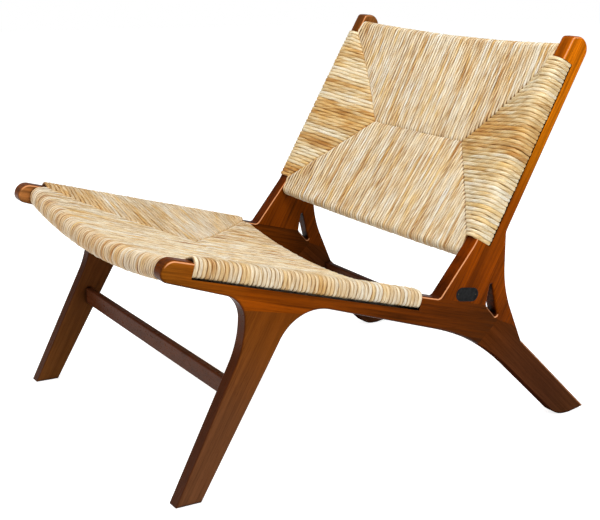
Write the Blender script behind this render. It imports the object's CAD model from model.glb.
from collections import namedtuple
from math import cos, pi, radians, sin

import bpy
import numpy as np
from mathutils import Matrix, Vector


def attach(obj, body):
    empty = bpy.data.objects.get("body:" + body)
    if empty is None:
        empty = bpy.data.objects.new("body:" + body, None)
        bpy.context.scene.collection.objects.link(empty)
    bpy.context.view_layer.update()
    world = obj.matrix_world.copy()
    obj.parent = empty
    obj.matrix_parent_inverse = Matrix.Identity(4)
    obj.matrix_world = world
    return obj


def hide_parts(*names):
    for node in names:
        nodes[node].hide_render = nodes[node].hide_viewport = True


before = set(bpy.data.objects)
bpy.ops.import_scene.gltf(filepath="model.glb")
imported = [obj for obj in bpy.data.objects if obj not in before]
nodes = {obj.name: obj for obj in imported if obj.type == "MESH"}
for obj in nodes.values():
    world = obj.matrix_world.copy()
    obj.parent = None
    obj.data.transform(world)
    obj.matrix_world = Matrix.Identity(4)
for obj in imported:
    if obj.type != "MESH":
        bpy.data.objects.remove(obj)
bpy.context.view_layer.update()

# Low lounge chair. Metres in Blender; sizes named _mm are in millimetres.
# +Z up, the sitter faces -Y, +X is the sitter's left.


# ---------------------------------------------------------------------------------------------
# Camera: three-quarter view from the sitter's left front, a little above the seat, through a
# fairly long lens, so that the near side frame and both rush panels are seen whole.
camera_azimuth, camera_elevation, camera_roll = radians(58.289), radians(14.840), radians(1.074)
camera_place = Vector((1.83736, -1.13373, 0.83845))
camera_focal_pixels = 1197.5
frame_width_pixels = 600
sensor_width_mm = 36
farthest_seen = 60

camera_back = Vector((
    sin(camera_azimuth) * cos(camera_elevation),
    -cos(camera_azimuth) * cos(camera_elevation),
    sin(camera_elevation),
))
level_right = Vector((0, 0, 1)).cross(camera_back).normalized()
level_up = camera_back.cross(level_right)
camera_right = cos(camera_roll) * level_right + sin(camera_roll) * level_up
camera_up = cos(camera_roll) * level_up - sin(camera_roll) * level_right
camera_data = bpy.data.cameras.new("camera")
camera_data.sensor_width = sensor_width_mm
camera_data.lens = camera_focal_pixels * sensor_width_mm / frame_width_pixels
camera_data.clip_end = farthest_seen
camera = bpy.data.objects.new("camera", camera_data)
bpy.context.collection.objects.link(camera)
camera.matrix_world = (
    Matrix.Translation(camera_place)
    @ Matrix((camera_right, camera_up, camera_back)).transposed().to_4x4()
)
bpy.context.scene.camera = camera
bpy.context.scene.view_settings.view_transform = "Standard"


# ---------------------------------------------------------------------------------------------
# Studio: a pale floor that keeps a soft shadow, a white room round it, and three large soft
# lamps. Floor and room are at their brightest only where they are seen, and light the chair less.
floor_half = 9.0
floor_cells = 12
floor_drop = 0.0005
floor_white = 0.80
floor_glow = 0.82
room_light = 0.30


def linear(red, green, blue):
    """Screen colour, 0 to 255, as the light values that a shader wants."""
    share = [value / 255 for value in (red, green, blue)]
    return tuple(v / 12.92 if v <= 0.04045 else ((v + 0.055) / 1.055) ** 2.4 for v in share)


def node_adder(tree):
    """Function that adds a node to a tree, with its inputs by name, or as i0, i1 by number."""

    def add(kind, settings=None, **inputs):
        node = tree.nodes.new("ShaderNode" + kind)
        for key, value in (settings or {}).items():
            setattr(node, key, value)
        for key, value in inputs.items():
            numbered = key[0] == "i" and key[1:].isdigit()
            slot = node.inputs[int(key[1:]) if numbered else key.replace("_", " ")]
            if isinstance(value, bpy.types.NodeSocket):
                tree.links.new(value, slot)
            else:
                slot.default_value = value
        return node

    return add


def shader(name):
    """New material without nodes, and the function that adds nodes to it."""
    material = bpy.data.materials.new(name)
    material.use_nodes = True
    material.node_tree.nodes.clear()
    return material, node_adder(material.node_tree)


def reckoned(add, operation, *values):
    """Result of a Math node."""
    inputs = {f"i{number}": value for number, value in enumerate(values)}
    return add("Math", {"operation": operation}, **inputs).outputs[0]


def colour_ramp(add, factor, stops):
    """Ramp over a 0 to 1 factor: whole numbers are screen colours, others plain shares of light."""
    node = add("ValToRGB", Fac=factor)
    while len(node.color_ramp.elements) < len(stops):
        node.color_ramp.elements.new(0.5)
    for element, (place, value) in zip(node.color_ramp.elements, stops):
        element.position = place
        shares = value if isinstance(value, tuple) else (value, value, value)
        element.color = (*(linear(*shares) if isinstance(shares[0], int) else shares), 1)
    return node.outputs["Color"]


def link_mesh(name, points, faces, smooth=True):
    """New object of these points and faces."""
    mesh = bpy.data.meshes.new(name)
    mesh.from_pydata(points, [], faces)
    mesh.polygons.foreach_set("use_smooth", np.full(len(faces), smooth))
    mesh.update()
    piece = bpy.data.objects.new(name, mesh)
    bpy.context.collection.objects.link(piece)
    return piece


floor_steps = np.linspace(-floor_half, floor_half, floor_cells + 1)
floor_row = floor_cells + 1
floor = link_mesh(
    "floor",
    [(x, y, -floor_drop) for y in floor_steps for x in floor_steps],
    [
        (k, k + 1, k + 1 + floor_row, k + floor_row)
        for row in range(floor_cells)
        for k in range(row * floor_row, row * floor_row + floor_cells)
    ],
    smooth=False,
)
floor_paint, add = shader("pale_floor")
seen = add("LightPath").outputs
seen_straight = reckoned(add, "MAXIMUM", seen["Is Camera Ray"], seen["Is Glossy Ray"])
seen_any = reckoned(add, "MAXIMUM", seen_straight, seen["Is Transmission Ray"])
matt = add("BsdfDiffuse", Color=(floor_white, floor_white, floor_white, 1)).outputs[0]
glow = add("Emission", Color=(1, 1, 1, 1), Strength=floor_glow).outputs[0]
both = add("AddShader", i0=matt, i1=glow).outputs[0]
floor_look = add("MixShader", Fac=seen_any, i1=matt, i2=both).outputs[0]
add("OutputMaterial", Surface=floor_look)
floor.data.materials.append(floor_paint)

room = bpy.data.worlds.new("white_room")
room.use_nodes = True
room.node_tree.nodes.clear()
add = node_adder(room.node_tree)
seen = add("LightPath").outputs
seen_through = reckoned(add, "MAXIMUM", seen["Is Camera Ray"], seen["Is Transmission Ray"])
room_strength = reckoned(add, "MULTIPLY_ADD", seen_through, 1.0 - room_light, room_light)
room_look = add("Background", Color=(1, 1, 1, 1), Strength=room_strength).outputs[0]
add("OutputWorld", Surface=room_look)
bpy.context.scene.world = room


def soft_lamp(name, place, target, size, power):
    """Rectangular lamp, size metres, aimed at a target, of so many watts."""
    lamp_data = bpy.data.lights.new(name, "AREA")
    lamp_data.shape = "RECTANGLE"
    lamp_data.size, lamp_data.size_y = size
    lamp_data.energy = power
    lamp = bpy.data.objects.new(name, lamp_data)
    bpy.context.collection.objects.link(lamp)
    lamp.location = place
    lamp.rotation_euler = (Vector(target) - Vector(place)).to_track_quat("-Z", "Y").to_euler()


soft_lamp("overhead_lamp", (0.9, -0.3, 3.1), (0, 0, 0.3), (1.1, 2.4), 62)
soft_lamp("side_lamp", (3.2, -0.4, 1.9), (0, 0.05, 0.4), (1.4, 1.4), 44)
soft_lamp("front_lamp", (-0.9, -3.4, 1.9), (0, 0, 0.4), (1.6, 1.6), 37)


# ---------------------------------------------------------------------------------------------
# Side frames: solid hardwood boards, four to a side, dowelled edge to edge and rounded over,
# then oiled to a satin sheen. The grain of each board runs along it, and the boards differ in
# tone. Their long arrises are rubbed pale where hands and light reach them.
MM = 0.001
untinted = (1.0, 1.0, 1.0)
deep_edge = (0.44, 0.34, 0.33)
straight_up = (0.0, 0.0, 1.0)
rubbed_colour = (236, 164, 114)
oil_tint = (1.0, 0.50, 0.16, 1.0)
crevice_reach = 0.014
pore_depth = 0.0003

# Changes per metre through the board, along its grain and across it.
band_scale = (18, 2.6, 62)
grain_scale = (110, 6.0, 330)
pore_scale = (1500, 50, 1500)


def tinted(add, colour, *tints):
    """Colour multiplied by each tint in turn."""
    for tint in tints:
        mix = add("Mix", {"data_type": "RGBA", "blend_type": "MULTIPLY"}, i0=1.0, i6=colour, i7=tint)
        colour = mix.outputs[2]
    return colour


def noise(add, place, scale, detail, roughness, distortion=0.0, shift=(0.0, 0.0, 0.0)):
    """Noise over a place, which is first stretched by scale and moved by shift."""
    placed = add("Mapping", Vector=place, Location=shift, Scale=scale).outputs[0]
    settings = {"Scale": 1.0, "Detail": detail, "Roughness": roughness, "Distortion": distortion}
    return add("TexNoise", Vector=placed, **settings).outputs[0]


def ranged(add, value, start, end, first, last):
    """Value carried from one range to another."""
    return add("MapRange", Value=value, i1=start, i2=end, i3=first, i4=last).outputs[0]


def oiled_board(
    name, lean, along_mm, tones, edge_tone=deep_edge, figure=1.0, turn=0.0,
    shine=0.04, under=0.60, rub_toward=straight_up,
):
    """Finish of one board: grain at lean degrees above +Y, tones as (place along it, screen colour).

    Its narrow edges take the stain deeper than its faces, by edge_tone, and its underside by
    under. figure is the strength of the grain, turn its place in the log, shine the specular
    level, and the arrises that face rub_toward are the rubbed ones."""
    material, add = shader(name)
    coordinates = add("TexCoord").outputs
    turned = add("Mapping", Vector=coordinates["Object"], Rotation=(radians(-lean), 0, 0)).outputs[0]
    run = add("SeparateXYZ", Vector=turned).outputs["Y"]
    start, end = along_mm
    base = colour_ramp(add, ranged(add, run, start * MM, end * MM, 0.0, 1.0), tones)

    shift = (turn * 1.7, turn * 0.9, turn * 2.3)
    bands = noise(add, turned, band_scale, 2.0, 0.5, 0.8, shift)
    grain = noise(add, turned, grain_scale, 5.0, 0.66, 0.5, shift)
    pores = noise(add, turned, pore_scale, 2.0, 0.5, 0.0, shift)

    def figured(places, dark, pale):
        return list(zip(places, (1.0 - dark * figure, 1.0, 1.0 + pale * figure)))

    band_tint = colour_ramp(add, bands, figured((0.30, 0.50, 0.72), 0.36, 0.30))
    grain_tint = colour_ramp(add, grain, figured((0.34, 0.52, 0.70), 0.42, 0.26))
    pore_tint = colour_ramp(add, pores, [(0.30, 0.72), (0.42, 1.0)])

    facing = add("SeparateXYZ", Vector=coordinates["Normal"]).outputs
    flat_share = reckoned(add, "ABSOLUTE", facing["X"])
    edge_tint = colour_ramp(add, flat_share, [(0.35, edge_tone), (0.93, untinted)])
    level = ranged(add, facing["Z"], -1.0, 1.0, 0.0, 1.0)
    underside = colour_ramp(add, level, [(0.22, under), (0.46, 1.0)])
    crevice = add("AmbientOcclusion", {"samples": 6}, Distance=crevice_reach).outputs["AO"]
    shelter = colour_ramp(add, crevice, [(0.30, 0.06), (0.75, 1.0)])
    stained = tinted(add, base, band_tint, grain_tint, pore_tint, edge_tint, underside, shelter)

    square = reckoned(add, "MULTIPLY", flat_share, flat_share)
    fourth = reckoned(add, "MULTIPLY", square, square)
    dot_product = {"operation": "DOT_PRODUCT"}
    toward = add("VectorMath", dot_product, i0=coordinates["Normal"], i1=rub_toward).outputs["Value"]
    rubbed = colour_ramp(add, reckoned(add, "MULTIPLY", fourth, toward), [(0.14, 0.0), (0.25, 0.82)])
    worn = (*linear(*rubbed_colour), 1)
    coloured = add("Mix", {"data_type": "RGBA"}, i0=rubbed, i6=stained, i7=worn).outputs[2]

    gloss = ranged(add, grain, 0.3, 0.7, 0.33, 0.25)
    relief = add("Bump", Strength=0.25, Distance=pore_depth, Height=pores).outputs[0]
    wood = add("BsdfPrincipled", Base_Color=coloured, Roughness=gloss, Normal=relief)
    wood.inputs["Specular IOR Level"].default_value = shine
    wood.inputs["Specular Tint"].default_value = oil_tint
    add("OutputMaterial", Surface=wood.outputs[0])
    return material


def finish_node(name, material):
    """Gives a piece of the frame its finish."""
    mesh = nodes[name].data
    mesh.materials.clear()
    mesh.materials.append(material)


rail_lean, post_lean, front_leg_lean, rear_leg_lean = -14.5, 61.5, 61.5, -43.0
rail_tones = [
    (0.0, (142, 80, 18)), (0.25, (139, 64, 4)), (0.5, (119, 54, 4)), (0.72, (105, 46, 3)),
    (1.0, (76, 34, 3)),
]
post_tones = [
    (0.0, (88, 36, 1)), (0.12, (110, 47, 1)), (0.22, (131, 57, 1)), (0.45, (148, 69, 2)),
    (0.62, (190, 105, 6)), (1.0, (197, 103, 6)),
]
front_leg_tones = [
    (0.0, (100, 62, 38)), (0.45, (102, 61, 34)), (0.8, (112, 60, 18)), (1.0, (112, 56, 10)),
]
rear_leg_tones = [
    (0.0, (89, 42, 10)), (0.14, (84, 42, 16)), (0.32, (80, 43, 22)), (0.7, (76, 42, 24)),
    (1.0, (84, 49, 27)),
]
board_looks = {
    "side_rail": (rail_lean, (-520, 130), rail_tones, 1.1),
    "back_post": (post_lean, (230, 780), post_tones, 1.0),
    "front_leg": (front_leg_lean, (-190, 150), front_leg_tones, 0.5),
    "rear_leg": (rear_leg_lean, (-20, 320), rear_leg_tones, 0.6),
}
board_extras = {
    "back_post": {"edge_tone": (0.58, 0.50, 0.45), "rub_toward": (0.0, -0.57, 0.82)},
    "rear_leg": {"under": 1.4, "shine": 0.0},
}
right_tones = {
    "side_rail": [(0.0, (160, 103, 54)), (0.22, (140, 70, 14)), (0.5, (114, 52, 4)), (1.0, (72, 31, 3))],
    "back_post": [(0.0, (96, 40, 2)), (0.45, (132, 62, 3)), (0.9, (150, 84, 20)), (1.0, (140, 88, 44))],
    "front_leg": [(0.0, (114, 69, 32)), (0.45, (110, 66, 33)), (0.75, (94, 53, 26)), (1.0, (54, 31, 20))],
}
board_turn = 1
for side in ("left", "right"):
    for board, (lean, along_mm, tones, figure) in board_looks.items():
        if side == "right":
            tones = right_tones.get(board, tones)
        finish = oiled_board(
            f"{side}_{board}_wood", lean, along_mm, tones, figure=figure, turn=board_turn,
            **board_extras.get(board, {}),
        )
        finish_node(f"{side}_{board}", finish)
        board_turn += 1


# ---------------------------------------------------------------------------------------------
# Stretchers: two plain hardwood bars, planed square and tenoned between the front legs and
# between the rear legs. Their stain is darker and duller than that of the frames.
stretcher_tones = [(0.0, (83, 43, 23)), (1.0, (83, 43, 23))]
bar_span_mm = (-400, 400)
for turn, name in ((20, "front_stretcher"), (21, "rear_stretcher")):
    finish = oiled_board(
        f"{name}_wood", 0, bar_span_mm, stretcher_tones, untinted, figure=0.6, turn=turn, shine=0.03,
    )
    finish_node(name, finish)


# ---------------------------------------------------------------------------------------------
# Cross rails and dowels: four bowed bars of bare pale wood under the rush, tenoned into the
# side frames, and the pegs glued across the frames' joints. All of it is hidden in use.
bare_tones = [(0.0, (196, 160, 118)), (1.0, (196, 160, 118))]
bare_wood = oiled_board("bare_inner_wood", 0, bar_span_mm, bare_tones, untinted, turn=30)
for name in (
    "seat_front_rail", "seat_rear_rail", "back_bottom_rail", "back_top_rail",
    "front_leg_dowels", "post_dowels", "rear_leg_dowels",
):
    finish_node(name, bare_wood)


# ---------------------------------------------------------------------------------------------
# Plate: a small blackened metal oval let into the outer face of the left post. It is blank, and
# two darkened brass pins hold it.
metal_relief = 0.0002


def worn_metal(name, dark, bright, metallic, rough, shine=0.5):
    """Finish of old metal, clouded between two screen colours."""
    material, add = shader(name)
    place = add("TexCoord").outputs["Object"]
    cloud = add("TexNoise", Vector=place, Scale=160.0, Detail=5.0, Roughness=0.6).outputs[0]
    tint = colour_ramp(add, cloud, [(0.35, dark), (0.75, bright)])
    sheen = ranged(add, cloud, 0.3, 0.7, rough + 0.12, rough - 0.08)
    relief = add("Bump", Strength=0.2, Distance=metal_relief, Height=cloud).outputs[0]
    metal = add("BsdfPrincipled", Base_Color=tint, Roughness=sheen, Metallic=metallic, Normal=relief)
    metal.inputs["Specular IOR Level"].default_value = shine
    add("OutputMaterial", Surface=metal.outputs[0])
    return material


finish_node("maker_plate", worn_metal("blackened_plate", (12, 12, 13), (30, 31, 32), 0.0, 0.55, 0.10))
finish_node("plate_pins", worn_metal("darkened_brass", (48, 40, 26), (84, 70, 46), 0.8, 0.42))


# ---------------------------------------------------------------------------------------------
# Rush: twisted cords of dried leaf, each wound round a rail and in to a mitred seam, where it
# turns the corner and goes down between the two layers. Four fields of wraps to a panel.

# A panel is the seat or the back. Its origin is (y, z) of its near end, the front or the bottom,
# and its runs are measured from there along its tilt. The seams start at the margins and meet at
# middle, apex out from the centre line. Sag and the dishes, (depth, power), bow it; rolls and
# radii are its thickness and rounding over the end rails, depths and rises lie below and above
# its plane at the sides.
Panel = namedtuple(
    "Panel",
    "origin tilt length near_margin far_margin middle apex half_count middle_count"
    " sag bottom_dish top_dish near_roll far_roll near_radius far_radius near_depth far_depth"
    " near_rise far_rise lower_corner",
)
seat = Panel(
    origin=(-427.5 + 21.5 * cos(radians(14.5)), 397.0 - 21.5 * sin(radians(14.5))),
    tilt=-14.5,
    length=486.0,
    near_margin=29.0,
    far_margin=23.5,
    middle=245.75,
    apex=80.2,
    half_count=29,
    middle_count=22,
    sag=25.0,
    bottom_dish=(2.5, 1.0),
    top_dish=(2.5, 1.0),
    near_roll=38.5,
    far_roll=34.0,
    near_radius=17.0,
    far_radius=12.0,
    near_depth=23.6,
    far_depth=22.4,
    near_rise=8.7,
    far_rise=7.8,
    lower_corner=8.5,
)
back = Panel(
    origin=(146.1 - 25.5 * sin(radians(29.3)), 352.3 - 25.5 * cos(radians(29.3))),
    tilt=60.7,
    length=406.2,
    near_margin=35.5,
    far_margin=31.0,
    middle=202.5,
    apex=139.0,
    half_count=23,
    middle_count=38,
    sag=19.0,
    bottom_dish=(13.0, 1.5),
    top_dish=(13.5, 2.5),
    near_roll=28.0,
    far_roll=28.0,
    near_radius=12.0,
    far_radius=12.0,
    near_depth=33.3,
    far_depth=24.3,
    near_rise=8.2,
    far_rise=8.2,
    lower_corner=4.4,
)
inner_face_mm = 297.0
wrap_outer_mm = 326.4
upper_corner_mm = 15.0
first_wrap_drop_mm = 5.0
settling_mm = 45.0
meeting_mm = 12.0
corner_lift_mm = 3.0
seam_gap_mm = 0.6
dive_reach_mm = 7.0
least_dive_mm, deepest_dive_mm = 2.2, 6.0
low_dive_steps, high_dive_steps = 5, 6
low_layer_steps, high_layer_steps = 12, 26

# How a cord lies in an end field and in a side field: its thickness, its half width as a share of
# the pitch, its looseness, the power of its round (under 1 is fuller), and the shade at its ends.
Cord = namedtuple("Cord", "thick_mm half_width loose power end_shade")
end_cord = Cord(6.3, 0.515, 1.0, 1.0, 0.12)
side_cord = Cord(7.4, 0.535, 1.25, 0.62, 0.55)


def panel_point(panel, x, run, height):
    """Place in the chair of a point given across, along and out of a panel, in metres."""
    tilt = radians(panel.tilt)
    y = panel.origin[0] + run * cos(tilt) - height * sin(tilt)
    z = panel.origin[1] + run * sin(tilt) + height * cos(tilt)
    return np.stack([x, y, z], axis=-1) * MM


def panel_end(panel, far_half):
    """Margin, reach from there to the middle, roll and radius of one end of a panel."""
    if far_half:
        reach = panel.length - panel.middle - panel.far_margin
        return panel.far_margin, reach, panel.far_roll, panel.far_radius
    return panel.near_margin, panel.middle - panel.near_margin, panel.near_roll, panel.near_radius


def side_height(panel, run):
    """How far the rush at the sides reaches below and above the panel's plane."""
    part = (run - panel.near_margin) / (panel.length - panel.near_margin - panel.far_margin)
    depth = panel.near_depth + (panel.far_depth - panel.near_depth) * part
    rise = panel.near_rise + (panel.far_rise - panel.near_rise) * part
    return depth, rise


def edge_height(panel, x):
    """Height of the rolled end of a panel, bowed from side to side."""
    return -panel.sag * (1 - np.minimum(np.abs(x) / inner_face_mm, 1) ** 2)


def seam_share(panel, x):
    """How far along its seam a cord of an end field ends, from the corner at 0 to the middle at 1."""
    return min(1.0, (inner_face_mm - abs(x)) / (inner_face_mm - panel.apex))


def seam_x(panel, share):
    return inner_face_mm - share * (inner_face_mm - panel.apex)


def seam_top(panel, share, far_half):
    """Height of the upper layer where two fields meet."""
    deep, power = panel.top_dish if far_half else panel.bottom_dish
    fall = 1 - (1 - share) ** power if far_half else share ** power
    return edge_height(panel, seam_x(panel, share)) - deep * fall + corner_lift_mm * (1 - share) ** 6


def seam_bottom(panel, share, far_half):
    """Height of the lower layer where two fields meet."""
    roll = panel_end(panel, far_half)[2]
    return seam_top(panel, share, far_half) - roll + (roll - meeting_mm) * share


def drift(seed, rows, count, knots):
    """Smooth random values about 0, one row for each cord."""
    knot_values = np.random.RandomState(seed).uniform(-1, 1, (rows, knots + 1))
    place = np.linspace(0, knots - 1e-6, count)
    index = place.astype(int)
    part = place - index
    part = part * part * (3 - 2 * part)
    return knot_values[:, index] * (1 - part) + knot_values[:, index + 1] * part


def arc(centre, radius, start, end, count):
    """Points of an arc, first angle left out, in degrees."""
    angles = np.radians(np.linspace(start, end, count + 1)[1:])
    return [(centre[0] + radius * cos(angle), centre[1] + radius * sin(angle)) for angle in angles]


def straight(start, end, count):
    """Points from start, left out, to end."""
    shares = np.linspace(0, 1, count + 1)[1:]
    return [(start[0] + (end[0] - start[0]) * t, start[1] + (end[1] - start[1]) * t) for t in shares]


def dive_curve(start, stop, depth, steps):
    """Last stretch of a cord before its seam, where it turns down by depth."""
    start, stop = np.array(start), np.array(stop)
    first = stop + (start - stop) * min(0.6, dive_reach_mm / np.hypot(*(start - stop)))
    along = 1 - (1 - np.linspace(0, 1, steps + 1)) ** 1.4
    points = first + (stop - first) * along[:, None]
    points[:, 1] += depth * (1 - np.sqrt(np.maximum(0, 1 - along ** 2)))
    return [tuple(point) for point in points]


def dive_depth(top, bottom):
    return min(deepest_dive_mm, max(least_dive_mm, 0.5 * (top - bottom)))


def end_cord_path(panel, x, far_half):
    """Line of one cord over an end rail, as (run from that end, height), underside first."""
    margin, reach, roll, radius = panel_end(panel, far_half)
    share = seam_share(panel, x)
    half = end_cord.thick_mm / 2
    edge = float(edge_height(panel, x))
    corner_edge = float(edge_height(panel, seam_x(panel, share)))
    meet = margin + share * reach - seam_gap_mm
    top = float(seam_top(panel, share, far_half)) - corner_edge + edge - half
    bottom = float(seam_bottom(panel, share, far_half)) - corner_edge + edge + half
    sink = dive_depth(top, bottom)
    low_roll = (radius, edge - roll + half)
    high_roll = (radius, edge - half)
    points = dive_curve(low_roll, (meet, bottom), sink, low_dive_steps)[::-1]
    points += straight(points[-1], low_roll, low_layer_steps)
    points += arc((radius, edge - roll + radius), radius - half, -90, -180, 6)
    points += straight(points[-1], (half, edge - radius), 2)
    points += arc((radius, edge - radius), radius - half, 180, 90, 7)
    high_end = dive_curve(high_roll, (meet, top), -sink, high_dive_steps)
    points += straight(points[-1], high_end[0], high_layer_steps)
    return np.array(points + high_end[1:])


def side_cord_path(panel, run, share, far_half):
    """Line of one cord round the side rail or post, as (x, height), underside first."""
    half = side_cord.thick_mm / 2
    depth, rise = side_height(panel, run)
    meet = float(seam_x(panel, share)) + seam_gap_mm
    top = float(seam_top(panel, share, far_half)) - half
    bottom = float(seam_bottom(panel, share, far_half)) + half
    sink = dive_depth(top, bottom)
    low_wrap = (inner_face_mm - 1.0, half - depth)
    low_corner = panel.lower_corner
    low_centre = (wrap_outer_mm - low_corner, low_corner - depth)
    high_centre = (wrap_outer_mm - upper_corner_mm, rise - upper_corner_mm)
    settled = min(1.0, (run - panel.near_margin) / settling_mm)
    shoulder = (inner_face_mm + 1.5, rise - half - first_wrap_drop_mm * (1 - settled) ** 2)
    points = dive_curve(low_wrap, (meet, bottom), sink, low_dive_steps)[::-1]
    points += straight(points[-1], low_wrap, low_layer_steps)
    points += straight(points[-1], (low_centre[0], half - depth), 3)
    points += arc(low_centre, low_corner - half, -90, 0, 6)
    points += straight(points[-1], (wrap_outer_mm - half, high_centre[1]), 3)
    points += arc(high_centre, upper_corner_mm - half, 0, 90, 8)
    points += straight(points[-1], shoulder, 3)
    high_end = dive_curve(shoulder, (meet, top), -sink, high_dive_steps)
    points += straight(shoulder, high_end[0], high_layer_steps)
    return np.array(points + high_end[1:])


def soften(paths, passes, first, last):
    """Rounds the sharp turns of some paths between two of their points."""
    for _ in range(passes):
        mean = (paths[:, first - 1:last - 1] + 2 * paths[:, first:last] + paths[:, first + 1:last + 1]) / 4
        paths[:, first:last] = mean
    return paths


# How uneven a cord is, along it and from one cord to the next: its twist in radians per mm, its
# swelling, its lobes as shares of its width, and how far it wanders and stands proud.
cord_sides = 12
least_twist, most_twist = 0.045, 0.075
swell_along, swell_between = 0.06, 0.04
two_lobes, five_lobes = 0.05, 0.02
usual_thickness, thickness_along = 0.97, 0.06
short_wander_mm, long_wander_mm = 0.38, 0.25
proud_along_mm, proud_between_mm = 0.30, 0.22
low_end_points, high_end_points = 7, 8


def tube_faces(rows, count, flip):
    """Faces of closed tubes, rows of them, each of count rings."""
    ring = np.arange(cord_sides)
    onward = (ring + 1) % cord_sides
    block = np.arange(count - 1)[:, None] * cord_sides
    quads = np.stack(
        [block + ring, block + onward, block + cord_sides + onward, block + cord_sides + ring],
        axis=-1,
    ).reshape(-1, 4)
    faces = []
    for row in range(rows):
        offset = row * count * cord_sides
        faces += (quads[:, ::flip] + offset).tolist()
        faces.append((offset + ring[::-flip]).tolist())
        faces.append((offset + (count - 1) * cord_sides + ring[::flip]).tolist())
    return faces


def cord_mesh(name, panel, cord, paths, lateral, widths, mitre, seed, ripe_bands=()):
    """Mesh of one field: every cord a twisted, slightly uneven tube along its own path.

    paths holds (cord, point, 2), in the plane that each cord lies in; lateral its place across.
    mitre slants its ends along the seams. Of the path's two numbers the first is the run in an
    end field and the x in a side field. ripe_bands gives (place, half width, strength)."""
    in_end_field = cord is end_cord
    rows, count = paths.shape[:2]
    step = np.diff(paths, axis=1)
    tangent = np.concatenate([step[:, :1], step[:, :-1] + step[:, 1:], step[:, -1:]], axis=1)
    tangent /= np.linalg.norm(tangent, axis=2, keepdims=True)
    outward = np.stack([-tangent[:, :, 1], tangent[:, :, 0]], axis=2)
    walked = np.cumsum(np.hypot(step[:, :, 0], step[:, :, 1]), axis=1)
    along = np.concatenate([np.zeros((rows, 1)), walked], axis=1)

    rng = np.random.RandomState(seed)
    start = rng.uniform(0, 2 * pi, rows)
    twist = rng.uniform(least_twist, most_twist, rows)
    angle = np.linspace(0, 2 * pi, cord_sides, endpoint=False)[None, None, :]
    spun = angle + (start[:, None] + twist[:, None] * along)[:, :, None]
    swell = swell_along * drift(seed + 1, rows, count, 24) + swell_between * rng.uniform(-1, 1, (rows, 1))
    swell = 1 + cord.loose * swell
    lobes = 1 + two_lobes * np.cos(2 * spun) + five_lobes * np.cos(5 * spun + 1.3)
    half_width = widths[:, None, None] * cord.half_width * swell[:, :, None] * lobes
    uneven = usual_thickness + thickness_along * drift(seed + 2, rows, count, 20)
    half_thick = cord.thick_mm * 0.5 * uneven[:, :, None] * lobes
    wander = short_wander_mm * drift(seed + 3, rows, count, 14)
    wander = cord.loose * (wander + long_wander_mm * drift(seed + 4, rows, count, 5))
    proud = proud_along_mm * drift(seed + 5, rows, count, 9)
    proud = proud + proud_between_mm * rng.uniform(-1, 1, (rows, 1))
    spread = rng.uniform(0, 40, (rows, 1, 1))

    side = half_width * np.cos(angle)
    rise = half_thick * np.sign(np.sin(angle)) * np.abs(np.sin(angle)) ** cord.power + proud[:, :, None]
    fade = np.zeros(count)
    fade[:low_end_points] = np.linspace(1, 0, low_end_points)
    fade[-high_end_points:] = np.linspace(0, 1, high_end_points)
    slant = (mitre[:, None] * fade[None, :])[:, :, None] * side
    first = paths[:, :, 0, None] + outward[:, :, 0, None] * rise + slant
    height = paths[:, :, 1, None] + outward[:, :, 1, None] * rise
    across = lateral[:, None, None] + side + wander[:, :, None]
    place = (across, first) if in_end_field else (first, across)
    points = panel_point(panel, *place, height).reshape(-1, 3)
    piece = link_mesh(name, points.tolist(), tube_faces(rows, count, -1 if in_end_field else 1))

    def keep(label, kind, field, values):
        layer = piece.data.attributes.new(label, kind, "POINT")
        layer.data.foreach_set(field, values.astype(np.float32).ravel())

    length = np.broadcast_to(along[:, :, None] * MM, spun.shape)
    round_x = cord.thick_mm * 0.5 * np.cos(spun) * MM
    round_y = cord.thick_mm * 0.5 * np.sin(spun) * MM
    keep("fibre", "FLOAT_VECTOR", "vector", np.stack([round_x + spread, round_y + spread, length], axis=-1))
    number = np.broadcast_to((np.arange(rows) + 7.3 * seed)[:, None, None], spun.shape)
    lit = 1 - cord.end_shade * fade ** 2
    crown = (0.5 + 0.5 * np.sin(angle)) * lit[None, :, None] + 0 * spun
    keep("lay", "FLOAT_VECTOR", "vector", np.stack([number, length, crown], axis=-1))
    row_place = (np.arange(rows) + 0.5) / rows
    ripe = np.zeros(rows)
    for centre, half_band, strength in ripe_bands:
        ripe += strength * np.exp(-((row_place - centre) / half_band) ** 2)
    patchy = 1 + 0.5 * drift(seed + 6, rows, count, 6)
    keep("ripe", "FLOAT", "value", ripe[:, None, None] * patchy[:, :, None] + 0 * spun)
    return piece


def end_field(name, panel, far_half, seed):
    """Cords over one end rail of a panel, from side to side."""
    seam_width = inner_face_mm - panel.apex
    pitch = seam_width / panel.half_count
    inner_pitch = 2 * panel.apex / panel.middle_count
    corner = [inner_face_mm - (i + 0.5) * pitch for i in range(panel.half_count)]
    inner = [panel.apex - (i + 0.5) * inner_pitch for i in range(panel.middle_count)]
    places = np.array(corner + inner + [-x for x in corner[::-1]])
    widths = np.array([pitch] * len(corner) + [inner_pitch] * len(inner) + [pitch] * len(corner))
    paths = np.array([end_cord_path(panel, x, far_half) for x in places])
    slope = panel_end(panel, far_half)[1] / seam_width
    mitre = np.where(np.abs(places) > panel.apex, -np.sign(places) * slope, 0.0)
    if far_half:
        paths[:, :, 0] = panel.length - paths[:, :, 0]
        paths = paths[:, ::-1]
        mitre = -mitre
    return cord_mesh(name, panel, end_cord, paths, places, widths, mitre, seed)


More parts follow.
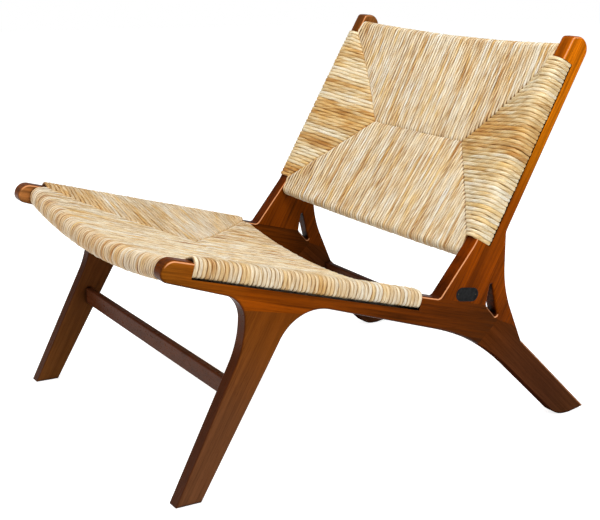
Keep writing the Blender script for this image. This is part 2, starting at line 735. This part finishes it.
def side_field(name, panel, left, seed, ripe_bands):
    """Cords round one side rail or post of a panel, from end to end."""
    half_count = panel.half_count
    near_pitch = (panel.middle - panel.near_margin) / half_count
    far_pitch = (panel.length - panel.far_margin - panel.middle) / half_count
    far_end = panel.length - panel.far_margin
    rows = [
        (panel.near_margin + (i + 0.5) * near_pitch, (i + 0.5) / half_count, False, near_pitch)
        for i in range(half_count)
    ] + [
        (far_end - (i + 0.5) * far_pitch, (i + 0.5) / half_count, True, far_pitch)
        for i in reversed(range(half_count))
    ]
    paths = np.array([side_cord_path(panel, run, share, far_half) for run, share, far_half, _ in rows])
    places = np.array([row[0] for row in rows])
    widths = np.array([row[3] for row in rows])
    reach = inner_face_mm - panel.apex
    mitre = np.array([(1 if row[2] else -1) * reach / (row[3] * half_count) for row in rows])
    past_corner, past_shoulder = 38, 46
    paths = soften(paths, 3, past_corner, past_shoulder)
    if left:
        paths = paths[:, ::-1]
    else:
        paths[:, :, 0] *= -1
        mitre = -mitre
    return cord_mesh(name, panel, side_cord, paths, places, widths, mitre, seed, ripe_bands)


# Changes in the leaf: from cord to cord and per metre of cord, and in a cord's strands per metre
# across the cord and along it.
whole_scale, bunch_scale = (5.3, 1.1, 0), (0.42, 8, 0)
field_scale, warm_scale = (0.085, 3.2, 0), (2.3, 10, 0)
change_between_cords = 3.7
streak_scale, strand_scale = (520, 520, 9), (1500, 1500, 18)
ripeness_places = (0.385, 0.44, 0.49, 0.54, 0.60)
warm_stops = [(0.34, (246, 225, 178)), (0.44, (255, 249, 235)), (0.60, (249, 252, 255))]
strand_stops = [(0.32, (184, 160, 134)), (0.48, (240, 234, 226)), (0.62, (255, 255, 255))]
ripe_stops = [(0.0, (255, 255, 255)), (1.0, (250, 232, 196))]
ripe_shift = -0.055
leaf_relief = 0.0006


def rush_finish(name, tones, change_per_metre, gap, hollow, shares, front_edge_mm=None):
    """Finish of one kind of field: tones from ripe brown leaf to pale, on cords that differ.

    gap and hollow are the tints between two cords and on their flanks. shares says how much
    the ripeness owes to whole cords, stretches of one, bunches, the field and single streaks.
    front_edge_mm is where along Y a darker edge starts and has faded."""
    material, add = shader(name)
    fibre = add("Attribute", {"attribute_name": "fibre"}).outputs["Vector"]
    lay = add("Attribute", {"attribute_name": "lay"}).outputs["Vector"]
    ripe = add("Attribute", {"attribute_name": "ripe"}).outputs["Fac"]
    whole = noise(add, lay, whole_scale, 1.0, 0.5)
    single = noise(add, lay, (change_between_cords, change_per_metre, 0), 2.0, 0.6)
    bunch = noise(add, lay, bunch_scale, 2.0, 0.6)
    field = noise(add, lay, field_scale, 1.0, 0.5)
    streak = noise(add, fibre, streak_scale, 2.0, 0.6)
    ripeness = 0.0
    for part, share in zip((streak, field, bunch, single, whole), reversed(shares)):
        ripeness = reckoned(add, "MULTIPLY_ADD", part, share, ripeness)
    ripeness = reckoned(add, "MULTIPLY_ADD", ripe, ripe_shift, ripeness)
    base = colour_ramp(add, ripeness, list(zip(ripeness_places, tones)))

    warm_tint = colour_ramp(add, noise(add, lay, warm_scale, 2.0, 0.6), warm_stops)
    strands = noise(add, fibre, strand_scale, 2.0, 0.6)
    strand_tint = colour_ramp(add, strands, strand_stops)
    crown = add("SeparateXYZ", Vector=lay).outputs["Z"]
    hollow_tint = colour_ramp(add, crown, [(0.45, gap), (0.74, hollow), (0.90, (255, 253, 248))])
    ripe_tint = colour_ramp(add, ripe, ripe_stops)
    shaded = tinted(add, base, ripe_tint, warm_tint, strand_tint, hollow_tint)
    if front_edge_mm:
        place = add("SeparateXYZ", Vector=add("TexCoord").outputs["Object"]).outputs["Y"]
        near, far = front_edge_mm
        share = ranged(add, place, near * MM, far * MM, 0.0, 1.0)
        shaded = tinted(add, shaded, colour_ramp(add, share, [(0.0, (0.88, 0.78, 0.68)), (1.0, untinted)]))
    relief = add("Bump", Strength=0.7, Distance=leaf_relief, Height=strands).outputs[0]
    leaf = add("BsdfPrincipled", Base_Color=shaded, Roughness=0.42, Normal=relief)
    leaf.inputs["Specular IOR Level"].default_value = 0.40
    add("OutputMaterial", Surface=leaf.outputs[0])
    return material


pale_tones = ((182, 134, 76), (219, 188, 142), (242, 229, 202), (251, 247, 234), (254, 254, 252))
golden_tones = ((190, 146, 80), (218, 188, 134), (237, 221, 184), (247, 239, 216), (253, 249, 238))
straw_tones = ((192, 150, 94), (218, 194, 152), (232, 217, 191), (241, 232, 213), (250, 246, 235))
soft_tones = ((214, 189, 150), (234, 220, 197), (244, 234, 218), (250, 245, 236), (254, 253, 250))
pale_look = (pale_tones, 14.0, (66, 38, 16), (184, 154, 116), (0.24, 0.24, 0.12, 0.10, 0.30))
golden_look = (golden_tones, 12.0, (190, 144, 88), (248, 234, 208), (0.16, 0.28, 0.18, 0.10, 0.28))
straw_look = (straw_tones, 12.0, (80, 54, 28), (216, 192, 158), (0.14, 0.26, 0.16, 0.16, 0.28))
soft_look = (soft_tones, 12.0, (158, 126, 86), (238, 222, 194), (0.05, 0.14, 0.12, 0.14, 0.42))
pale_rush = rush_finish("pale_twisted_rush", *pale_look)
golden_rush = rush_finish("golden_twisted_rush", *golden_look)
straw_rush = rush_finish("straw_twisted_rush", *straw_look)
soft_rush = rush_finish("soft_twisted_rush", *soft_look)
front_rush = rush_finish("front_edge_rush", *pale_look, front_edge_mm=(-418, -385))

# Bundles of riper leaf, or of paler where the strength is under 0, woven into the side fields.
seat_left_bands = ((0.10, 0.05, 0.5), (0.55, 0.06, 0.6), (0.30, 0.06, -0.4))
seat_right_bands = (
    (0.06, 0.05, 0.7), (0.20, 0.03, 0.6), (0.33, 0.03, 0.4), (0.60, 0.20, -0.4), (0.95, 0.05, 0.2),
)
back_left_bands = ((0.56, 0.11, 0.9), (0.24, 0.16, -0.7), (0.86, 0.10, 0.1))
back_right_bands = (
    (0.02, 0.05, 1.4), (0.27, 0.04, 0.7), (0.35, 0.02, -0.8), (0.48, 0.07, 1.0), (0.60, 0.025, -0.9),
    (0.66, 0.02, 0.5), (0.76, 0.06, -0.8), (0.87, 0.02, 0.6),
)
rush_fields = {
    "seat_rush_front": (front_rush, end_field("seat_front_cords", seat, False, 11)),
    "seat_rush_rear": (pale_rush, end_field("seat_rear_cords", seat, True, 23)),
    "seat_rush_left": (straw_rush, side_field("seat_left_cords", seat, True, 37, seat_left_bands)),
    "seat_rush_right": (soft_rush, side_field("seat_right_cords", seat, False, 41, seat_right_bands)),
    "back_rush_bottom": (pale_rush, end_field("back_bottom_cords", back, False, 53)),
    "back_rush_top": (pale_rush, end_field("back_top_cords", back, True, 67)),
    "back_rush_left": (golden_rush, side_field("back_left_cords", back, True, 79, back_left_bands)),
    "back_rush_right": (golden_rush, side_field("back_right_cords", back, False, 83, back_right_bands)),
}
for replaced, (finish, piece) in rush_fields.items():
    piece.data.materials.append(finish)
    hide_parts(replaced)
    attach(piece, "root")


# ---------------------------------------------------------------------------------------------
# Stuffing: loose ends of rush packed by hand between the two layers of each field, thick by the
# rail and running out to nothing where the layers meet. It keeps the seat and back full.
least_pad_mm = 2.0
pad_room_mm = 1.2
seam_room_mm = 9.0
pad_inset_mm = 26
thinnest_mm = 0.6
lump_mm = 0.5
end_pad_rows, end_pad_points = 61, 15
side_pad_rows, side_pad_points = 45, 13
cords_and_pad_mm = 2 * end_cord.thick_mm + 2 * pad_room_mm + least_pad_mm


def layer_gap(panel, share, part, far_half):
    """Distance between the outsides of the layers, part of the way from rail to seam."""
    roll = panel_end(panel, far_half)[2]
    return roll - (roll - meeting_mm) * share * part


def pad_part(panel, share, reach, far_half):
    """How far towards the seam the pad runs, as a part of the cord's straight length."""
    roll = panel_end(panel, far_half)[2]
    fall = (roll - meeting_mm) * share
    longest = 1 - seam_room_mm / max(reach, seam_room_mm * 1.1)
    return max(0.08, min(longest, (roll - cords_and_pad_mm) / max(fall, 1e-3)))


def pad_sides(high, low, lump):
    """Upper and lower side of a pad between the outsides of two layers."""
    top = high - end_cord.thick_mm - pad_room_mm + np.minimum(lump, 0)
    return top, np.minimum(low + end_cord.thick_mm + pad_room_mm, top - thinnest_mm)


def pad_mesh(name, blocks):
    """One piece of several closed pads, each given as a top and a bottom grid of points."""
    points, faces = [], []
    for top, bottom in blocks:
        first = len(points)
        rows, count = top.shape[:2]
        points += top.reshape(-1, 3).tolist() + bottom.reshape(-1, 3).tolist()
        under = first + rows * count
        for i in range(rows - 1):
            for j in range(count - 1):
                k = i * count + j
                faces.append((first + k, first + k + 1, first + k + count + 1, first + k + count))
                faces.append((under + k, under + k + count, under + k + count + 1, under + k + 1))
        rim = list(range(count)) + [i * count + count - 1 for i in range(1, rows)]
        rim += [(rows - 1) * count + j for j in range(count - 2, -1, -1)]
        rim += [i * count for i in range(rows - 2, 0, -1)]
        for k, m in zip(rim, rim[1:] + rim[:1]):
            faces.append((first + k, under + k, under + m, first + m))
    return link_mesh(name, points, faces)


def end_pad(panel, far_half, seed):
    """Pad of an end field, from inside the end rail towards the seams."""
    margin, reach = panel_end(panel, far_half)[:2]
    widest = inner_face_mm - pad_inset_mm
    places = np.linspace(-widest, widest, end_pad_rows)
    lumps = lump_mm * drift(seed, end_pad_rows, end_pad_points, 6)
    top_rows, low_rows = [], []
    for x, lump in zip(places, lumps):
        share = seam_share(panel, x)
        seam_run = margin + share * reach
        edge = float(edge_height(panel, x))
        meet_edge = float(edge_height(panel, seam_x(panel, share)))
        top_end = float(seam_top(panel, share, far_half)) - meet_edge + edge
        part = np.linspace(0.0, pad_part(panel, share, share * reach, far_half), end_pad_points)
        run = margin + 1.0 + (seam_run - margin - 1.0) * part
        if far_half:
            run = panel.length - run
        height = edge + (top_end - edge) * part
        top, low = pad_sides(height, height - layer_gap(panel, share, part, far_half), lump)
        across = np.full(end_pad_points, x)
        top_rows.append(panel_point(panel, across, run, top))
        low_rows.append(panel_point(panel, across, run, low))
    top, low = np.array(top_rows), np.array(low_rows)
    return (top[::-1], low[::-1]) if far_half else (top, low)


def side_pad(panel, left, seed):
    """Pad of a side field, from inside the rail or post towards the seams."""
    first, last = panel.near_margin + pad_inset_mm, panel.length - panel.far_margin - pad_inset_mm
    runs = np.linspace(first, last, side_pad_rows)
    lumps = lump_mm * drift(seed, side_pad_rows, side_pad_points, 5)
    top_rows, low_rows = [], []
    for run, lump in zip(runs, lumps):
        far_half = bool(run > panel.middle)
        margin, whole = panel_end(panel, far_half)[:2]
        share = min(1.0, (panel.length - run - margin if far_half else run - margin) / whole)
        top_end = float(seam_top(panel, share, far_half))
        low_end = float(seam_bottom(panel, share, far_half))
        depth, rise = side_height(panel, run)
        thin = (rise + depth - cords_and_pad_mm) / max(1e-3, rise + depth - (top_end - low_end))
        reach = inner_face_mm - float(seam_x(panel, share))
        longest = max(0.05, min(thin, 1 - seam_room_mm / max(reach, 10)))
        part = np.linspace(0.0, longest, side_pad_points)
        x = inner_face_mm - 1.0 - (reach - 1.0) * part
        top, low = pad_sides(rise + (top_end - rise) * part, -depth + (low_end + depth) * part, lump)
        if not left:
            x = -x
        top_rows.append(panel_point(panel, x, np.full(side_pad_points, run), top))
        low_rows.append(panel_point(panel, x, np.full(side_pad_points, run), low))
    top, low = np.array(top_rows), np.array(low_rows)
    return (top, low) if left else (top[::-1], low[::-1])


def packed_rush_finish():
    """Finish of short ends of rush lying all ways."""
    material, add = shader("packed_rush_ends")
    place = add("TexCoord").outputs["Object"]
    straw = noise(add, place, (900, 120, 300), 4.0, 0.6)
    tint = colour_ramp(add, straw, [(0.3, (150, 112, 66)), (0.5, (196, 160, 112)), (0.7, (222, 196, 152))])
    relief = add("Bump", Strength=0.6, Distance=0.001, Height=straw).outputs[0]
    leaf = add("BsdfPrincipled", Base_Color=tint, Roughness=0.7, Normal=relief)
    add("OutputMaterial", Surface=leaf.outputs[0])
    return material


filling = packed_rush_finish()
for name, panel, replaced, seed in (
    ("seat_filling", seat, "seat_stuffing", 101),
    ("back_filling", back, "back_stuffing", 131),
):
    pads = pad_mesh(name, [
        end_pad(panel, False, seed),
        end_pad(panel, True, seed + 1),
        side_pad(panel, True, seed + 2),
        side_pad(panel, False, seed + 3),
    ])
    pads.data.materials.append(filling)
    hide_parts(replaced)
    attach(pads, "root")
